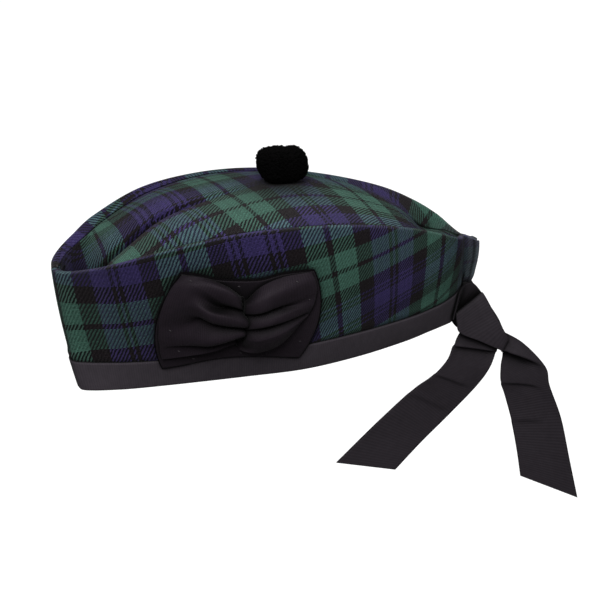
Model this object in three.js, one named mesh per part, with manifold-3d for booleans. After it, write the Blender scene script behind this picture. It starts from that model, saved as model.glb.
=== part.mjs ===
// Wool glengarry cap with a ribbon band, a gathered bow on its left side, a tufted pompom and a tie
// at the back whose two tails hang below the rim.
// Millimetres, +Z up. The front points to -X, the wearer's left side faces -Y, and the origin is the
// middle of the head opening at the level of the band's lower edge at the front.
import * as THREE from "three";
import { mergeVertices } from "three/addons/utils/BufferGeometryUtils.js";
import Module from "manifold-3d";

const wasm = await Module();
wasm.setup();

// Cloth and ribbon sizes
const WOOL = 2; // thickness of the side panels and the crown
const RIBBON = 1; // thickness of the band, bow and tie ribbon
const GAP = 0.3; // clearance between pieces that are sewn together
const SEAM_GAP = 0.5; // the same along the crown's seam, where two slopes meet
const BAND_HEIGHT = 22; // outer leg of the binding
const BAND_TUCK = 10; // inner leg of the binding
const BAND_INSIDE = 2.8; // level distance from the wall's outer face to the inner leg, which the lean widens
const TURN_RADIUS = 3; // bend at the top fold of a side panel

// How finely the cloth is divided
const STEPS_PER_ROW = 3; // stations between two rows of the table below
const WALL_LEVELS = 8;
const ROLL_LEVELS = 3;
const CROWN_COLUMNS = 10;
const BOW_LEVELS = 14;
const TAIL_COLUMNS = 4;

// Wall of one side, a row per station from the front fold to the ear at the back. rim: lower edge.
// half: distance from the middle plane. belly: outward swell of the wall half way up. rake: its shift
// along X there.
const WALL_ROWS = [
  { rimX: -122.8, rimHalf: 0.2, rimZ: 0.6, belly: 0, rake: -1.8 },
  { rimX: -121.4, rimHalf: 4.4, rimZ: 0.6, belly: 0, rake: -1.5 },
  { rimX: -115.4, rimHalf: 8, rimZ: 0.7, belly: -1, rake: -1 },
  { rimX: -106, rimHalf: 11.5, rimZ: 0.8, belly: -1, rake: -0.5 },
  { rimX: -90, rimHalf: 16.5, rimZ: 1.2, belly: 0, rake: 0 },
  { rimX: -58, rimHalf: 23.5, rimZ: 2, belly: 4, rake: 0 },
  { rimX: -20, rimHalf: 30.5, rimZ: 2.8, belly: 7, rake: 0 },
  { rimX: 16, rimHalf: 35, rimZ: 3, belly: 8, rake: 0 },
  { rimX: 52, rimHalf: 32, rimZ: 3.6, belly: 8, rake: 0 },
  { rimX: 84, rimHalf: 26, rimZ: 5, belly: 8, rake: 0 },
  { rimX: 103, rimHalf: 20, rimZ: 6, belly: 6, rake: 0.5 },
  { rimX: 115, rimHalf: 15.5, rimZ: 6.3, belly: 2, rake: 1.5 },
  { rimX: 121, rimHalf: 13, rimZ: 6.4, belly: -3, rake: 4 },
  { rimX: 124, rimHalf: 12, rimZ: 6.5, belly: -6.5, rake: 5.5 },
];

// Top fold of the same stations and half the crown behind it. roll: cloth turned in over the crest.
// middleZ: height of the crown's middle. puff: swell of each half of the crown beside its crease.
const CREST_ROWS = [
  { crestX: -131, crestHalf: 0.2, crestZ: 84, roll: 5, middleZ: 81, puff: 0 },
  { crestX: -129, crestHalf: 11, crestZ: 85.5, roll: 6, middleZ: 79, puff: 1 },
  { crestX: -123, crestHalf: 21, crestZ: 88, roll: 7, middleZ: 78, puff: 3 },
  { crestX: -113, crestHalf: 31, crestZ: 91.5, roll: 8, middleZ: 81, puff: 5 },
  { crestX: -96, crestHalf: 44, crestZ: 97.5, roll: 9, middleZ: 92, puff: 6 },
  { crestX: -62, crestHalf: 56, crestZ: 106.5, roll: 8, middleZ: 109, puff: 4 },
  { crestX: -22, crestHalf: 58.5, crestZ: 109.5, roll: 5, middleZ: 115, puff: 1 },
  { crestX: 18, crestHalf: 56.5, crestZ: 106.5, roll: 5, middleZ: 115.5, puff: 0 },
  { crestX: 58, crestHalf: 49.5, crestZ: 98, roll: 7, middleZ: 107, puff: 0 },
  { crestX: 92, crestHalf: 42, crestZ: 87, roll: 11, middleZ: 91, puff: 0 },
  { crestX: 113, crestHalf: 34, crestZ: 76.5, roll: 17, middleZ: 74, puff: 0 },
  { crestX: 126, crestHalf: 23, crestZ: 68, roll: 15, middleZ: 64, puff: 0 },
  { crestX: 134, crestHalf: 9, crestZ: 61, roll: 4, middleZ: 60, puff: 0 },
  { crestX: 146, crestHalf: 2.6, crestZ: 55.5, roll: 0, middleZ: 56, puff: 0 },
];
const PINCHED_HALF = WOOL + GAP; // outer face of a side where the two sides are sewn together at the back
const BARE_EAR_STEPS = 2; // stations at the ear that the crown doesn't reach

// The gathered bow, a row per pleat from its front edge to its back edge, as points on the left wall.
// bulge: how far the row bends towards the nearer edge. lift: height above the wall.
const BOW_ROWS = [
  { lowX: -71, lowZ: 28, topX: -56, topZ: 83, bulge: -6, lift: 1, pleat: 0 },
  { lowX: -63, lowZ: 28, topX: -50, topZ: 84, bulge: -5, lift: 6, pleat: 0.5 },
  { lowX: -52, lowZ: 29, topX: -42, topZ: 82, bulge: -3, lift: 9, pleat: 1.2 },
  { lowX: -42, lowZ: 31, topX: -33, topZ: 77, bulge: -1, lift: 10, pleat: 2 },
  { lowX: -32, lowZ: 35, topX: -26.5, topZ: 68, bulge: 0, lift: 9, pleat: 2 },
  { lowX: -26, lowZ: 38, topX: -24.5, topZ: 57, bulge: 0, lift: 6, pleat: 1.5 },
  { lowX: -23, lowZ: 38, topX: -22.5, topZ: 54, bulge: 0, lift: 4.5, pleat: 1 },
  { lowX: -20, lowZ: 32, topX: -20, topZ: 61, bulge: 0, lift: 6, pleat: 1.5 },
  { lowX: -13, lowZ: 26, topX: -13, topZ: 71, bulge: 0, lift: 9, pleat: 2 },
  { lowX: -3, lowZ: 28, topX: 0, topZ: 76, bulge: 1, lift: 10, pleat: 1.6 },
  { lowX: 9, lowZ: 36, topX: 12, topZ: 78, bulge: 2, lift: 7, pleat: 1 },
  { lowX: 18, lowZ: 45, topX: 21, topZ: 77, bulge: 2.5, lift: 1, pleat: 0 },
];
const BOW_PLEATS = 2.5; // waves of the gathers from the lower to the upper edge

// The flat patch below the bow, in the same way
const PATCH_ROWS = [
  { lowX: -73, lowZ: 17, topX: -58, topZ: 85.5, bulge: -8 },
  { lowX: -58, lowZ: 22, topX: -46, topZ: 83, bulge: -4 },
  { lowX: -42, lowZ: 24, topX: -36, topZ: 80, bulge: -1 },
  { lowX: -20, lowZ: 23, topX: -21, topZ: 78, bulge: 0 },
  { lowX: 0, lowZ: 19, topX: -4, topZ: 77, bulge: 0 },
  { lowX: 9, lowZ: 17.5, topX: 12, topZ: 79, bulge: 4 },
  { lowX: 12, lowZ: 19, topX: 23.5, topZ: 78.5, bulge: 6 },
];

// Tie ribbons and tails, a row per section: the two edges a and b of the ribbon
const TIE_NEAR_ROWS = [
  { ax: 140.3, ay: -3.7, az: 27.8, bx: 127.4, by: -11.4, bz: 9.5 },
  { ax: 143.5, ay: -9.5, az: 23, bx: 127, by: -14.2, bz: 7 },
  { ax: 149, ay: -14, az: 12, bx: 127.5, by: -17, bz: 0 },
  { ax: 154, ay: -15, az: 1, bx: 139, by: -17.5, bz: -9 },
  { ax: 158.5, ay: -15.5, az: -9, bx: 151, by: -17, bz: -18 },
  { ax: 159.5, ay: -14.5, az: -12.5, bx: 154, by: -15.5, bz: -21 },
];
const TIE_FAR_ROWS = [
  { ax: 140.4, ay: 3.4, az: 27.4, bx: 127.9, by: 11.3, bz: 8.8 },
  { ax: 142.5, ay: 7.5, az: 25, bx: 126.5, by: 12.5, bz: 5 },
  { ax: 145, ay: 8, az: 20, bx: 127, by: 9, bz: -1 },
  { ax: 151, ay: 3, az: 10, bx: 131, by: 2, bz: -7 },
  { ax: 156, ay: -4, az: 0, bx: 144, by: -5.5, bz: -13 },
  { ax: 158, ay: -8, az: -7, bx: 151, by: -8.5, bz: -17 },
];
const TAIL_LEFT_ROWS = [
  { ax: 129, ay: -13.8, az: 1, bx: 153, by: -13.2, bz: -14 },
  { ax: 123.5, ay: -14.5, az: -6, bx: 151, by: -14, bz: -20.5 },
  { ax: 117, ay: -16.5, az: -18.5, bx: 145.5, by: -15, bz: -31.5 },
  { ax: 106, ay: -16, az: -29, bx: 135.5, by: -14, bz: -44 },
  { ax: 92, ay: -14, az: -38, bx: 115, by: -12, bz: -63.5 },
  { ax: 66, ay: -14, az: -57.5, bx: 97, by: -12.5, bz: -78 },
  { ax: 37, ay: -15.5, az: -80, bx: 77, by: -15, bz: -94 },
];
const TAIL_RIGHT_ROWS = [
  { ax: 152, ay: -9.4, az: -6, bx: 151, by: -9.9, bz: -18 },
  { ax: 161, ay: -11, az: -11, bx: 157, by: -12, bz: -23 },
  { ax: 172, ay: -13, az: -20, bx: 154.5, by: -14, bz: -32 },
  { ax: 185, ay: -15, az: -38, bx: 153.5, by: -14.5, bz: -43 },
  { ax: 188, ay: -14, az: -53, bx: 157, by: -12, bz: -56 },
  { ax: 196, ay: -13.5, az: -80, bx: 161, by: -12.5, bz: -76 },
  { ax: 201, ay: -15, az: -112, bx: 163.5, by: -14.5, bz: -98 },
  { ax: 206, ay: -16, az: -143, bx: 165, by: -16, bz: -117 },
];

// Pompom: yarn locks set round a flattened head, shorter over the middle so that two lobes show
const POMPOM = { x: 20, z: 128.8, halfX: 13.8, halfY: 13, halfZ: 9, locks: 50 };
const LOCK = { length: 6, root: 3.6, tip: 2.7, sides: 5, sunk: 2.2 };
const NOTCH_DEPTH = 2.2;
const NOTCH_WIDTH = 0.3; // as a share of the half width

// Smooth curve through a table's rows for the three named columns
function columnCurve(rows, x, y, z) {
  const points = rows.map((row) => new THREE.Vector3(row[x], row[y], row[z]));
  return new THREE.CatmullRomCurve3(points, false, "catmullrom", 0.5);
}

const rimCurve = columnCurve(WALL_ROWS, "rimX", "rimHalf", "rimZ");
const crestCurve = columnCurve(CREST_ROWS, "crestX", "crestHalf", "crestZ");
const swellCurve = columnCurve(WALL_ROWS, "rimX", "belly", "rake");
const crownCurve = columnCurve(CREST_ROWS, "roll", "middleZ", "puff");

// Point on the outer face of a side, as if on the +Y side, at a share of the length and of the height
function wallPoint(along, up) {
  const point = rimCurve.getPoint(along).lerp(crestCurve.getPoint(along), up);
  const { y: belly, z: rake } = swellCurve.getPoint(along);
  point.x += rake * 4 * up * (1 - up);
  point.y += belly * 4 * up * (1 - up);
  if (along > 0.5) point.y = Math.max(point.y, PINCHED_HALF);
  return point;
}

// Level direction that points into the cap at the crest, square to the crest's plan
function inwardAt(along) {
  if (along <= 0) return new THREE.Vector3(1, 0, 0);
  const before = crestCurve.getPoint(Math.max(along - 0.004, 0));
  const after = crestCurve.getPoint(Math.min(along + 0.004, 1));
  return new THREE.Vector3(after.y - before.y, before.x - after.x, 0).normalize();
}

// Outer face of a side from its lower edge over the crest to the crown seam, at one station
function sideSection(along, lowest) {
  const section = [];
  for (let level = 0; level <= WALL_LEVELS; level++) {
    const share = level / WALL_LEVELS;
    section.push(wallPoint(along, lowest + (1 - lowest) * share));
  }
  const crest = section[WALL_LEVELS];
  const roll = crownCurve.getPoint(along).x;
  const inward = inwardAt(along);
  const bend = Math.min(TURN_RADIUS, roll);
  for (let level = 1; level <= ROLL_LEVELS && roll > 0.5; level++) {
    const angle = (level / ROLL_LEVELS) * (Math.PI / 2);
    const point = crest.clone().addScaledVector(inward, bend * (1 - Math.cos(angle)));
    point.z += bend * Math.sin(angle) * 0.6;
    section.push(point);
  }
  while (section.length <= WALL_LEVELS + ROLL_LEVELS) {
    const point = section.at(-1).clone();
    point.z += 0.6;
    section.push(point);
  }
  const seam = section.at(-1).clone().addScaledVector(inward, Math.max(roll - bend, 0.6));
  seam.z -= 0.4 * Math.max(roll - bend, 0) - 0.2;
  section.push(seam);
  return section;
}

const INWARD = 1; // sign of a side's normals that point into the cap

// Unit normals of a grid of points, on the side given by the sign
function gridNormals(grid, sign) {
  const rows = grid.length;
  const columns = grid[0].length;
  return grid.map((line, i) =>
    line.map((point, j) => {
      const across = grid[Math.min(i + 1, rows - 1)][j].clone().sub(grid[Math.max(i - 1, 0)][j]);
      const up = grid[i][Math.min(j + 1, columns - 1)].clone().sub(grid[i][Math.max(j - 1, 0)]);
      return across.cross(up).normalize().multiplyScalar(sign);
    }),
  );
}

// Second face of a sheet: the grid moved along its normals
function offsetGrid(grid, normals, distance) {
  const moved = (point, i, j) => point.clone().addScaledVector(normals[i][j], distance);
  return grid.map((line, i) => line.map((point, j) => moved(point, i, j)));
}

// Closed solid between two grids of the same size
function sheetGeometry(front, back) {
  const rows = front.length;
  const columns = front[0].length;
  const positions = [...front.flat(), ...back.flat()].flatMap((point) => point.toArray());
  const at = (side, i, j) => side * rows * columns + i * columns + j;
  const index = [];
  const quad = (a, b, c, d) => index.push(a, b, c, a, c, d);
  for (let i = 0; i + 1 < rows; i++) {
    for (let j = 0; j + 1 < columns; j++) {
      quad(at(0, i, j), at(0, i + 1, j), at(0, i + 1, j + 1), at(0, i, j + 1));
      quad(at(1, i, j), at(1, i, j + 1), at(1, i + 1, j + 1), at(1, i + 1, j));
    }
    quad(at(0, i + 1, 0), at(0, i, 0), at(1, i, 0), at(1, i + 1, 0));
    quad(at(0, i, columns - 1), at(0, i + 1, columns - 1), at(1, i + 1, columns - 1), at(1, i, columns - 1));
  }
  for (let j = 0; j + 1 < columns; j++) {
    quad(at(0, 0, j), at(0, 0, j + 1), at(1, 0, j + 1), at(1, 0, j));
    quad(at(0, rows - 1, j + 1), at(0, rows - 1, j), at(1, rows - 1, j), at(1, rows - 1, j + 1));
  }
  const geometry = new THREE.BufferGeometry();
  geometry.setAttribute("position", new THREE.Float32BufferAttribute(positions, 3));
  geometry.setIndex(index);
  return facingOut(geometry);
}

// Turns every face round when the solid's signed volume is negative
function facingOut(geometry) {
  const position = geometry.getAttribute("position");
  const index = geometry.index.array;
  const corner = [0, 1, 2].map(() => new THREE.Vector3());
  let volume = 0;
  for (let i = 0; i < index.length; i += 3) {
    corner.forEach((point, k) => point.fromBufferAttribute(position, index[i + k]));
    volume += corner[0].dot(corner[1].clone().cross(corner[2]));
  }
  if (volume < 0) {
    for (let i = 0; i < index.length; i += 3) {
      [index[i + 1], index[i + 2]] = [index[i + 2], index[i + 1]];
    }
  }
  geometry.computeVertexNormals();
  return geometry;
}

// Copy of a geometry on the other side of the middle plane
function mirrored(geometry) {
  const copy = geometry.clone();
  copy.applyMatrix4(new THREE.Matrix4().makeScale(1, -1, 1));
  return facingOut(copy);
}

const STATION_COUNT = (WALL_ROWS.length - 1) * STEPS_PER_ROW;
const alongAt = (station) => station / STATION_COUNT;

// Side panel on the +Y side: outer face, inner face and the crown seam that the crown meets
function makeSide() {
  const outer = [];
  for (let station = 0; station <= STATION_COUNT; station++) {
    const along = alongAt(station);
    const height = crestCurve.getPoint(along).z - rimCurve.getPoint(along).z;
    outer.push(sideSection(along, (RIBBON + 2 * GAP) / height));
  }
  const inward = gridNormals(outer, INWARD);
  inward[0].forEach((normal) => normal.setY(0).normalize());
  const inner = offsetGrid(outer, inward, WOOL);
  inner.flat().forEach((point) => (point.y = Math.max(point.y, GAP / 2)));
  return { outer, inner };
}

// Crown: starts a gap away from the seam edge of each side and follows its slope there
function makeCrown(side) {
  const front = [];
  const back = [];
  for (let station = 0; station <= STATION_COUNT - BARE_EAR_STEPS; station++) {
    const line = side.outer[station];
    const seam = line.at(-1);
    const inner = side.inner[station].at(-1);
    const ahead = seam.clone().sub(line.at(-2)).normalize();
    const edge = seam.clone().addScaledVector(ahead, SEAM_GAP);
    const under = inner.clone().addScaledVector(ahead, SEAM_GAP);
    const { y: middleZ, z: puff } = crownCurve.getPoint(alongAt(station));
    front.push(crownLine(edge, middleZ, puff));
    back.push(crownLine(under, middleZ - WOOL, puff));
  }
  return sheetGeometry(front, back);
}

// One line across the crown between a seam point and its mirror image
function crownLine(edge, middleZ, puff) {
  const half = Math.max(edge.y, 0.4);
  const line = [];
  for (let column = 0; column <= CROWN_COLUMNS; column++) {
    const across = (2 * column) / CROWN_COLUMNS - 1;
    const side = Math.abs(across);
    const dome = (middleZ - edge.z) * (1 - side * side);
    const swell = puff * (2 * side * (1 - side) - (1 - side) ** 4);
    line.push(new THREE.Vector3(edge.x, across * half, edge.z + dome + swell));
  }
  return line;
}

// Binding folded over the lower edge, from one end of the back slit round the front to the other
function makeBand() {
  const fold = RIBBON + GAP;
  const outside = [
    { up: BAND_HEIGHT, inset: -fold },
    { up: BAND_HEIGHT / 2, inset: -fold },
    { up: 0, inset: -fold },
    { up: 0, inset: BAND_INSIDE + RIBBON },
    { up: BAND_TUCK, inset: BAND_INSIDE + RIBBON },
  ];
  const inside = [
    { up: BAND_HEIGHT, inset: -GAP },
    { up: BAND_HEIGHT / 2, inset: -GAP },
    { up: RIBBON, inset: -GAP },
    { up: RIBBON, inset: BAND_INSIDE },
    { up: BAND_TUCK, inset: BAND_INSIDE },
  ];
  const front = [];
  const back = [];
  for (let station = -STATION_COUNT; station <= STATION_COUNT; station++) {
    front.push(bandLine(station, outside));
    back.push(bandLine(station, inside));
  }
  return sheetGeometry(front, back);
}

// One line of the binding; stations below zero are on the left side
function bandLine(station, legs) {
  const along = alongAt(Math.abs(station));
  const height = crestCurve.getPoint(along).z - rimCurve.getPoint(along).z;
  const inward = rimInward(along);
  return legs.map(({ up, inset }) => {
    const point = wallPoint(along, up / height).addScaledVector(inward, inset);
    point.y *= Math.sign(station);
    return point;
  });
}

// Level direction that points into the cap at the rim, square to the rim's plan
function rimInward(along) {
  if (along <= 0) return new THREE.Vector3(1, 0, 0);
  const before = rimCurve.getPoint(Math.max(along - 0.004, 0));
  const after = rimCurve.getPoint(Math.min(along + 0.004, 1));
  return new THREE.Vector3(after.y - before.y, before.x - after.x, 0).normalize();
}

// Point on the left wall with the given length and height, and the wall's outward normal there
function leftWallAt(x, z) {
  let along = 0.5;
  let up = 0.5;
  for (let round = 0; round < 12; round++) {
    const rim = rimCurve.getPoint(along);
    const crest = crestCurve.getPoint(along);
    up = (z - rim.z) / (crest.z - rim.z);
    along += (x - THREE.MathUtils.lerp(rim.x, crest.x, up)) / 420;
  }
  const point = wallPoint(along, up);
  const ahead = wallPoint(along + 0.01, up).sub(point);
  const above = wallPoint(along, up + 0.01).sub(point);
  const normal = above.cross(ahead).normalize();
  point.y *= -1;
  normal.y *= -1;
  if (normal.y > 0) normal.negate();
  return { point, normal };
}

// Sheet laid over the left wall: rows from front to back, each from its lower to its upper edge
function wallSheet(rows, levels, liftAt) {
  const front = [];
  const back = [];
  rows.forEach((row) => {
    const faces = [[], []];
    for (let level = 0; level <= levels; level++) {
      const up = level / levels;
      const bend = (row.bulge ?? 0) * 4 * up * (1 - up);
      const x = THREE.MathUtils.lerp(row.lowX, row.topX, up) + bend;
      const { point, normal } = leftWallAt(x, THREE.MathUtils.lerp(row.lowZ, row.topZ, up));
      const lift = liftAt(row, up);
      faces[0].push(point.clone().addScaledVector(normal, lift));
      faces[1].push(point.clone().addScaledVector(normal, lift - RIBBON));
    }
    front.push(faces[0]);
    back.push(faces[1]);
  });
  return sheetGeometry(front, back);
}

// Height of the bow's outer face above the wall: a rounded loop with gathers that run from the pinch
function bowLift(row, up) {
  const rest = 3 * (GAP + RIBBON);
  const loop = row.lift * Math.sqrt(Math.max(4 * up * (1 - up), 0));
  const gather = row.pleat * Math.cos(2 * Math.PI * BOW_PLEATS * up);
  return Math.max(rest + loop + gather * Math.min(loop / 4, 1), rest);
}

// Ribbon whose two edges are given row by row
function ribbonGeometry(rows) {
  const edgeA = columnCurve(rows, "ax", "ay", "az");
  const edgeB = columnCurve(rows, "bx", "by", "bz");
  const steps = (rows.length - 1) * 2;
  const front = [];
  for (let step = 0; step <= steps; step++) {
    const a = edgeA.getPoint(step / steps);
    const b = edgeB.getPoint(step / steps);
    const line = [];
    for (let column = 0; column <= TAIL_COLUMNS; column++) {
      line.push(a.clone().lerp(b, column / TAIL_COLUMNS));
    }
    front.push(line);
  }
  return sheetGeometry(front, offsetGrid(front, gridNormals(front, 1), RIBBON));
}

// Solid for joining, made from a geometry whose shared vertices are merged
function solidFrom(geometry) {
  const bare = geometry.clone();
  bare.deleteAttribute("normal");
  bare.deleteAttribute("uv");
  const merged = mergeVertices(bare, 1e-3);
  const mesh = new wasm.Mesh({
    numProp: 3,
    vertProperties: merged.getAttribute("position").array,
    triVerts: new Uint32Array(merged.index.array),
  });
  return new wasm.Manifold(mesh);
}

function geometryFrom(solid) {
  const { vertProperties, triVerts } = solid.getMesh();
  const geometry = new THREE.BufferGeometry();
  geometry.setAttribute("position", new THREE.Float32BufferAttribute(vertProperties, 3));
  geometry.setIndex([...triVerts]);
  geometry.computeVertexNormals();
  return geometry;
}

// Pompom: blunt yarn locks set evenly round the head and fused to it
function makePompom() {
  const golden = Math.PI * (3 - Math.sqrt(5));
  const up = new THREE.Vector3(0, 1, 0);
  const half = new THREE.Vector3(POMPOM.halfX, POMPOM.halfY, POMPOM.halfZ);
  const head = new THREE.SphereGeometry(1, 12, 8).scale(half.x, half.y, half.z);
  let pompom = solidFrom(head);
  for (let lock = 0; lock < POMPOM.locks; lock++) {
    const height = 1 - (2 * lock + 1) / POMPOM.locks;
    const ring = Math.sqrt(1 - height * height);
    const turn = lock * golden;
    const outward = new THREE.Vector3(ring * Math.cos(turn), ring * Math.sin(turn), height);
    const notch = NOTCH_DEPTH * Math.exp(-((outward.x / NOTCH_WIDTH) ** 2)) * Math.max(height, 0);
    const geometry = new THREE.CylinderGeometry(LOCK.tip, LOCK.root, LOCK.length, LOCK.sides);
    geometry.translate(0, LOCK.length / 2 - LOCK.sunk - notch, 0);
    geometry.applyQuaternion(new THREE.Quaternion().setFromUnitVectors(up, outward));
    const seat = outward.clone().multiply(half);
    geometry.translate(seat.x, seat.y, seat.z);
    pompom = pompom.add(solidFrom(geometry));
  }
  return geometryFrom(pompom).translate(POMPOM.x, 0, POMPOM.z);
}

const wool = () => new THREE.MeshStandardMaterial({ color: 0x24383a, roughness: 0.95, metalness: 0 });
const petersham = () => new THREE.MeshStandardMaterial({ color: 0x242226, roughness: 0.75, metalness: 0 });
const satin = () => new THREE.MeshStandardMaterial({ color: 0x1a171b, roughness: 0.65, metalness: 0 });
const yarn = () => new THREE.MeshStandardMaterial({ color: 0x070707, roughness: 1, metalness: 0 });

const cap = new THREE.Group();

function addPiece(name, geometry, material) {
  const mesh = new THREE.Mesh(geometry, material);
  mesh.name = name;
  cap.add(mesh);
}

const side = makeSide();
const sideRight = sheetGeometry(side.outer, side.inner);
addPiece("side_right", sideRight, wool());
addPiece("side_left", mirrored(sideRight), wool());
addPiece("crown", makeCrown(side), wool());
addPiece("band", makeBand(), petersham());
addPiece("rosette_patch", wallSheet(PATCH_ROWS, 6, () => 2 * (GAP + RIBBON)), satin());
addPiece("rosette_bow", wallSheet(BOW_ROWS, BOW_LEVELS, bowLift), satin());
addPiece("pompom", makePompom(), yarn());
addPiece("tie_near", ribbonGeometry(TIE_NEAR_ROWS), petersham());
addPiece("tie_far", ribbonGeometry(TIE_FAR_ROWS), petersham());
addPiece("tail_left", ribbonGeometry(TAIL_LEFT_ROWS), petersham());
addPiece("tail_right", ribbonGeometry(TAIL_RIGHT_ROWS), petersham());

export default cap;
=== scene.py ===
"""Looks of a wool glengarry cap in a dark tartan, with a ribbon band, a gathered bow, a tie and a pompom.

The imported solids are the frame, and each of them is dressed with a finer piece in the same place. Tables
and sizes are in millimetres, and meshes are in metres. +Z is up, the front of the cap points to -X and
the wearer's left to -Y.
"""

import functools
import logging
import math
import random
from collections.abc import Callable
from dataclasses import dataclass
from enum import Enum

import bmesh
import bpy
from mathutils import Matrix, Vector

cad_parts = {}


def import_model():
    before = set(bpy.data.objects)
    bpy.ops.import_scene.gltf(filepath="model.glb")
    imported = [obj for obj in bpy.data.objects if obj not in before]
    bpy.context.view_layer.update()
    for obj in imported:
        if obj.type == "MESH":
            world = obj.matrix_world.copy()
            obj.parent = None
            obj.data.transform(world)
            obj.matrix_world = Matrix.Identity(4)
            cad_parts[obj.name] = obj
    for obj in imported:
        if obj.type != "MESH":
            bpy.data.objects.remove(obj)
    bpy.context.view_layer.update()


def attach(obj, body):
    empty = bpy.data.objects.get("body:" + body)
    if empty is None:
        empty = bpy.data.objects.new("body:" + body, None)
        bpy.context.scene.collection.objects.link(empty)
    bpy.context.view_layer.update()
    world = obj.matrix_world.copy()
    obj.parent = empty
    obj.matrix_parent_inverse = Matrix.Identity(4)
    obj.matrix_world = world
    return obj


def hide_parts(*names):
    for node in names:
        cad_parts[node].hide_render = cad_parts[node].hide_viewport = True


MM = 0.001
BODY = "root"
CLOTH = "cloth"  # name of the UV map that holds cloth coordinates
PAINTED_LIGHT = "painted_light"  # name of the UV map whose first coordinate says how much light is painted on the wool, as pale hair
PITCHES = ("Warp Pitch", "Weft Pitch")
POMPOM_AT = (20.6, 3.0)  # middle of the pompom seen from above, in millimetres
FLOAT = "NodeSocketFloat"
VECTOR = "NodeSocketVector"
COLOUR = "NodeSocketColor"

Pair = tuple[float, float]
Triple = tuple[float, float, float]
Place = Callable[[float, float], Vector]
Cloth = Callable[[float, float], Pair]
PaintedLight = Callable[[float, float], float]
Inputs = dict[str | int, object]
Socket = bpy.types.NodeSocket

log = logging.getLogger("glengarry")


class Side(Enum):
    """The wearer's side that a wall is on, as the sign of its Y."""

    LEFT = -1
    RIGHT = 1


def smooth_through(before: float, start: float, end: float, after: float, part: float) -> float:
    """Value at a share of the way from start to end on a Catmull-Rom curve through four values."""
    leave = (end - before) / 2
    arrive = (after - start) / 2
    cubic = 2 * start - 2 * end + leave + arrive
    square = 3 * end - 3 * start - 2 * leave - arrive
    return ((cubic * part + square) * part + leave) * part + start


class Rows:
    """Smooth curves through the named columns of a table with a row per station."""

    def __init__(self, names: str, *rows: tuple[float, ...]) -> None:
        """Keeps each column with one guessed value beyond each end.

        Args:
            names: column names with spaces between them.
            rows: the table's rows.
        """
        self.last = len(rows) - 1
        self.columns: dict[str, list[float]] = {}
        for name, values in zip(names.split(), zip(*rows)):
            before = 2 * values[0] - values[1]
            after = 2 * values[-1] - values[-2]
            self.columns[name] = [before, *values, after]

    @functools.lru_cache(maxsize=65536)
    def at(self, name: str, along: float) -> float:
        """Value of a column at a share of the way from the first row to the last.

        Args:
            name: the column.
            along: share from 0 to 1.

        Returns:
            The value on a Catmull-Rom curve through the rows.
        """
        place = min(max(along, 0.0), 1.0) * self.last
        first = min(int(place), self.last - 1)
        part = place - first
        return smooth_through(*self.columns[name][first : first + 4], part)

    def between(self, first: str, second: str, along: float, share: float) -> float:
        """Value at a share of the way from one column to another."""
        return self.at(first, along) * (1 - share) + self.at(second, along) * share

    def point(self, names: str, along: float) -> Vector:
        """Point whose coordinates are three columns at a share of the length."""
        return Vector([self.at(name, along) for name in names.split()])


def bump_at(distance: float, width: float) -> float:
    """Height from 0 to 1 of a smooth bump at a distance from its middle."""
    return math.exp(-((distance / width) ** 2))


def ease(value: float, start: float, end: float) -> float:
    """Share from 0 to 1 that rises smoothly as a value goes from start to end."""
    part = min(max((value - start) / (end - start), 0.0), 1.0)
    return part * part * (3 - 2 * part)


def surface_normal(place: Place, along: float, across: float, step: float = 0.004) -> Vector:
    """Unit normal of a surface given by shares.

    Args:
        place: point at shares along and across.
        along: share of the length.
        across: share of the width.
        step: change of a share that counts as small.

    Returns:
        The normal, on the side of along crossed with across.
    """
    ahead = place(along + step, across) - place(along - step, across)
    aside = place(along, across + step) - place(along, across - step)
    return ahead.cross(aside).normalized()


def add_object(name: str, data: bpy.types.ID) -> bpy.types.Object:
    """Links a new object with the given data to the scene."""
    item = bpy.data.objects.new(name, data)
    bpy.context.scene.collection.objects.link(item)
    return item


def mesh_from(form: bmesh.types.BMesh, name: str) -> bpy.types.Mesh:
    """Makes a mesh of an edited form and frees the form."""
    mesh = bpy.data.meshes.new(name)
    form.to_mesh(mesh)
    form.free()
    return mesh


def add_piece(mesh: bpy.types.Mesh, finish: bpy.types.Material, slot: str) -> bpy.types.Object:
    """Puts a finished mesh in the scene as a piece of the cap.

    Args:
        mesh: the mesh, in place, whose name the piece gets.
        finish: its material.
        slot: the record's material slot; not used.

    Returns:
        The new object, which rides on the cap's body.
    """
    mesh.materials.append(finish)
    mesh.shade_smooth()
    piece = add_object(mesh.name, mesh)
    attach(piece, BODY)
    area = sum(face.area for face in mesh.polygons)
    log.info("%s: %d faces, %.5f square metres", mesh.name, len(mesh.polygons), area)
    return piece


def dress_solid(
    node: str, mesh: bpy.types.Mesh, finish: bpy.types.Material, slot: str, thickness: float
) -> bpy.types.Object:
    """Lets a sheet replace a solid, and gives it its thickness behind its outer face.

    Args:
        node: the solid.
        mesh: the sheet's outer face.
        finish: its material.
        slot: the record's material slot.
        thickness: in millimetres.

    Returns:
        The new piece.
    """
    piece = add_piece(mesh, finish, slot)
    wall = piece.modifiers.new("thickness", "SOLIDIFY")
    wall.thickness = thickness * MM
    wall.offset = -1
    wall.use_quality_normals = True
    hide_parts(node)
    return piece


def no_painted_light(_along: float, _across: float) -> float:
    """Painted light of a sheet that has none."""
    return 0.0


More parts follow.
